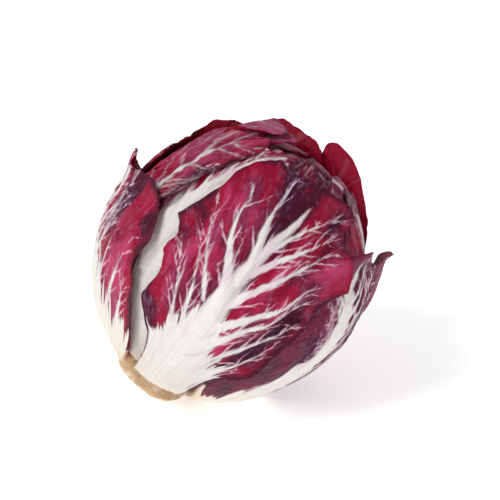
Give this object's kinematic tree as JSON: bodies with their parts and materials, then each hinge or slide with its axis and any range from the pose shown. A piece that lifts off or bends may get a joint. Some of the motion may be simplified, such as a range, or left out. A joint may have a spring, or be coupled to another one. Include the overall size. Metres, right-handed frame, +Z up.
{
  "type": "radicchio head",
  "caption": "Round red-and-white radicchio head lying on its side: cut stem butt, dense heart and broad ribbed leaves wrapped over each other.",
  "frame": {"origin": "middle of the flat spot that the head rests on, straight below the head's centre", "axes": "+Z up from the surface it lies on; the head's axis leans from the butt, at -X and low, to the crown, at +X and high, 34 degrees from upright; the broad front leaf faces -Y"},
  "size_m": [0.1342, 0.1228, 0.125],
  "materials": {
    "cut_stem": "dry cut plant stem, tan and uneven",
    "outer_leaf": "waxy crimson leaf with white ribs and veins",
    "inner_leaf": "waxy crimson leaf with broad white ribs, paler than the outer leaves"
  },
  "bodies": {
    "root": {"stem_butt": "cut_stem", "heart": "inner_leaf", "leaf_front": "outer_leaf", "leaf_left": "outer_leaf", "leaf_back": "outer_leaf", "leaf_underside": "outer_leaf", "leaf_upper_left": "outer_leaf", "leaf_back_left": "outer_leaf", "leaf_front_left": "inner_leaf", "leaf_right": "outer_leaf", "leaf_top_left": "outer_leaf", "leaf_top": "inner_leaf", "leaf_inner_right": "inner_leaf", "leaf_inner_left": "inner_leaf"}
  },
  "joints": []
}
